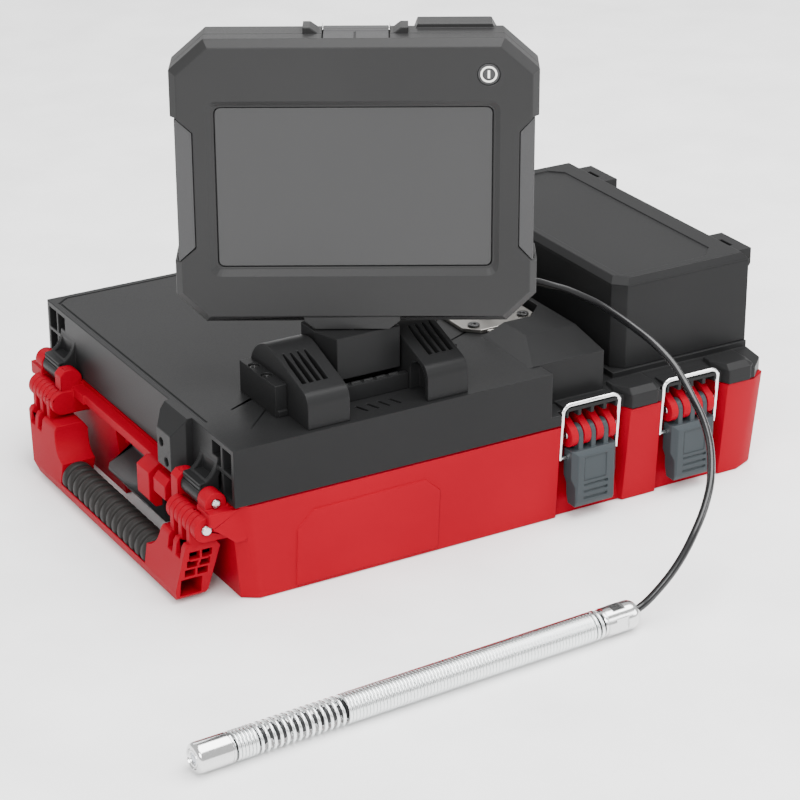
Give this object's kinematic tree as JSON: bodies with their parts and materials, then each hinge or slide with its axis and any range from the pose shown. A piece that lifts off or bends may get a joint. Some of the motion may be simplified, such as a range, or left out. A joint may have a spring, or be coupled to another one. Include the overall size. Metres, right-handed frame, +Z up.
{
  "type": "inspection camera",
  "caption": "Pipe inspection camera in a latched two-part carry case with a tilting display, battery box, push cable and spring-sleeved probe.",
  "frame": {"origin": "centre of the underside of the case body, on the surface it stands on", "axes": "+Z up, +X along the case from the carry handle to the battery box, front with the visible latches towards -Y"},
  "size_m": [0.4593, 0.403, 0.3002],
  "materials": {
    "red_shell": "satin moulded",
    "cover_plastic": "fine moulded texture",
    "display_plastic": "fine moulded texture",
    "latch_plastic": "satin moulded",
    "dark_lever": "satin moulded",
    "inner_plastic": "moulded",
    "pack_plastic": "moulded",
    "pin_steel": "turned",
    "bail_wire": "bright wire",
    "black_screws": "black oxide",
    "plate_metal": "brushed",
    "probe_steel": "polished",
    "spring_steel": "bright wire",
    "seal_rubber": "matt",
    "grip_rubber": "ribbed",
    "button_rubber": "soft",
    "cable_jacket": "smooth",
    "circuit_board": "solder mask",
    "screen_glass": "switched-off panel",
    "lens_glass": "polished",
    "led_white": "clear"
  },
  "bodies": {
    "case": {"lower_case": "red_shell", "lid_hinge_pins": "pin_steel", "handle_pins": "pin_steel", "latch_pins": "pin_steel", "cable_tub": "inner_plastic", "stored_cable": "cable_jacket", "release_pin": "pin_steel", "probe_nose": "probe_steel", "lens_window": "lens_glass", "led_ring": "led_white", "camera_module": "inner_plastic", "front_spring": "spring_steel", "rear_spring": "spring_steel", "probe_core": "inner_plastic", "rear_connector": "probe_steel", "push_cable": "cable_jacket"},
    "release": {"stack_release": "dark_lever"},
    "lid": {"top_cover": "cover_plastic", "lid_gasket": "seal_rubber", "left_cheek": "cover_plastic", "right_cheek": "cover_plastic", "cross_bar": "cover_plastic", "mount_feet": "cover_plastic", "mount_screws": "black_screws", "guide_plate": "plate_metal", "plate_screws": "black_screws", "cable_bush": "seal_rubber", "tilt_shaft": "pin_steel", "tilt_washers": "inner_plastic", "battery_box": "cover_plastic", "battery_pack": "pack_plastic", "battery_terminals": "inner_plastic", "power_board": "circuit_board", "door_pins": "pin_steel"},
    "battery_door": {"battery_door": "cover_plastic"},
    "head": {"tilt_head": "cover_plastic"},
    "display": {"front_bezel": "display_plastic", "rear_shell": "display_plastic", "display_panel": "inner_plastic", "screen_glass": "screen_glass", "main_board": "circuit_board", "swivel_stem": "pin_steel", "side_grips": "seal_rubber", "port_block": "inner_plastic", "bezel_screws": "black_screws", "port_pin": "pin_steel"},
    "port_cover": {"port_cover": "seal_rubber"},
    "power_button": {"power_button": "button_rubber"},
    "handle": {"carry_handle": "red_shell", "handle_grip": "grip_rubber"},
    "front_lever_1": {"front_lever_1": "latch_plastic"},
    "front_bail_1": {"front_bail_1": "bail_wire"},
    "front_lever_2": {"front_lever_2": "latch_plastic"},
    "front_bail_2": {"front_bail_2": "bail_wire"},
    "rear_lever_1": {"rear_lever_1": "latch_plastic"},
    "rear_bail_1": {"rear_bail_1": "bail_wire"},
    "rear_lever_2": {"rear_lever_2": "latch_plastic"},
    "rear_bail_2": {"rear_bail_2": "bail_wire"}
  },
  "joints": [
    {"name": "lid_hinge", "type": "hinge", "parent": "case", "child": "lid", "pos_m": [-0.185, 0, 0.0615], "axis": [0, -1, 0], "range_deg": [0, 90], "deforming": ["push_cable"]},
    {"name": "battery_door_hinge", "type": "hinge", "parent": "lid", "child": "battery_door", "pos_m": [0.182, 0, 0.12], "axis": [0, 1, 0], "range_deg": [0, 100]},
    {"name": "display_tilt", "type": "hinge", "parent": "lid", "child": "head", "pos_m": [-0.0805, -0.076, 0.1045], "axis": [-1, 0, 0], "range_deg": [-10, 25]},
    {"name": "display_swivel", "type": "hinge", "parent": "head", "child": "display", "pos_m": [-0.0805, -0.08, 0.131], "axis": [0, 0, 1], "range_deg": [-15, 60]},
    {"name": "port_cover_hinge", "type": "hinge", "parent": "display", "child": "port_cover", "pos_m": [-0.07327, -0.06743, 0.296], "axis": [-0.8669, 0.4985, 0], "range_deg": [0, 110]},
    {"name": "power_button_press", "type": "slide", "parent": "display", "child": "power_button", "axis": [0.4985, 0.8669, 0], "range_m": [0, 0.001], "stiffness_N_per_m": 400},
    {"name": "handle_swing", "type": "hinge", "parent": "case", "child": "handle", "pos_m": [-0.192, 0, 0.048], "axis": [0, 1, 0], "range_deg": [0, 90]},
    {"name": "release_pull", "type": "hinge", "parent": "case", "child": "release", "pos_m": [-0.167, 0, 0.039], "axis": [0, 1, 0], "range_deg": [0, 8], "stiffness_Nm_per_rad": 0.3},
    {"name": "front_latch_1", "type": "hinge", "parent": "case", "child": "front_lever_1", "pos_m": [0.052, -0.121, 0.0515], "axis": [-1, 0, 0], "range_deg": [0, 100]},
    {"name": "front_bail_swing_1", "type": "hinge", "parent": "front_lever_1", "child": "front_bail_1", "pos_m": [0.052, -0.1216, 0.038], "axis": [-1, 0, 0], "range_deg": [-110, 0]},
    {"name": "front_latch_2", "type": "hinge", "parent": "case", "child": "front_lever_2", "pos_m": [0.122, -0.121, 0.0515], "axis": [-1, 0, 0], "range_deg": [0, 100]},
    {"name": "front_bail_swing_2", "type": "hinge", "parent": "front_lever_2", "child": "front_bail_2", "pos_m": [0.122, -0.1216, 0.038], "axis": [-1, 0, 0], "range_deg": [-110, 0]},
    {"name": "rear_latch_1", "type": "hinge", "parent": "case", "child": "rear_lever_1", "pos_m": [0.052, 0.121, 0.0515], "axis": [1, 0, 0], "range_deg": [0, 100]},
    {"name": "rear_bail_swing_1", "type": "hinge", "parent": "rear_lever_1", "child": "rear_bail_1", "pos_m": [0.052, 0.1216, 0.038], "axis": [1, 0, 0], "range_deg": [-110, 0]},
    {"name": "rear_latch_2", "type": "hinge", "parent": "case", "child": "rear_lever_2", "pos_m": [0.122, 0.121, 0.0515], "axis": [1, 0, 0], "range_deg": [0, 100]},
    {"name": "rear_bail_swing_2", "type": "hinge", "parent": "rear_lever_2", "child": "rear_bail_2", "pos_m": [0.122, 0.1216, 0.038], "axis": [1, 0, 0], "range_deg": [-110, 0]}
  ],
  "couplings": [
    {"joint": "front_bail_swing_1", "follows": "front_latch_1", "ratio": -1.1},
    {"joint": "front_bail_swing_2", "follows": "front_latch_2", "ratio": -1.1},
    {"joint": "rear_bail_swing_1", "follows": "rear_latch_1", "ratio": -1.1},
    {"joint": "rear_bail_swing_2", "follows": "rear_latch_2", "ratio": -1.1}
  ]
}
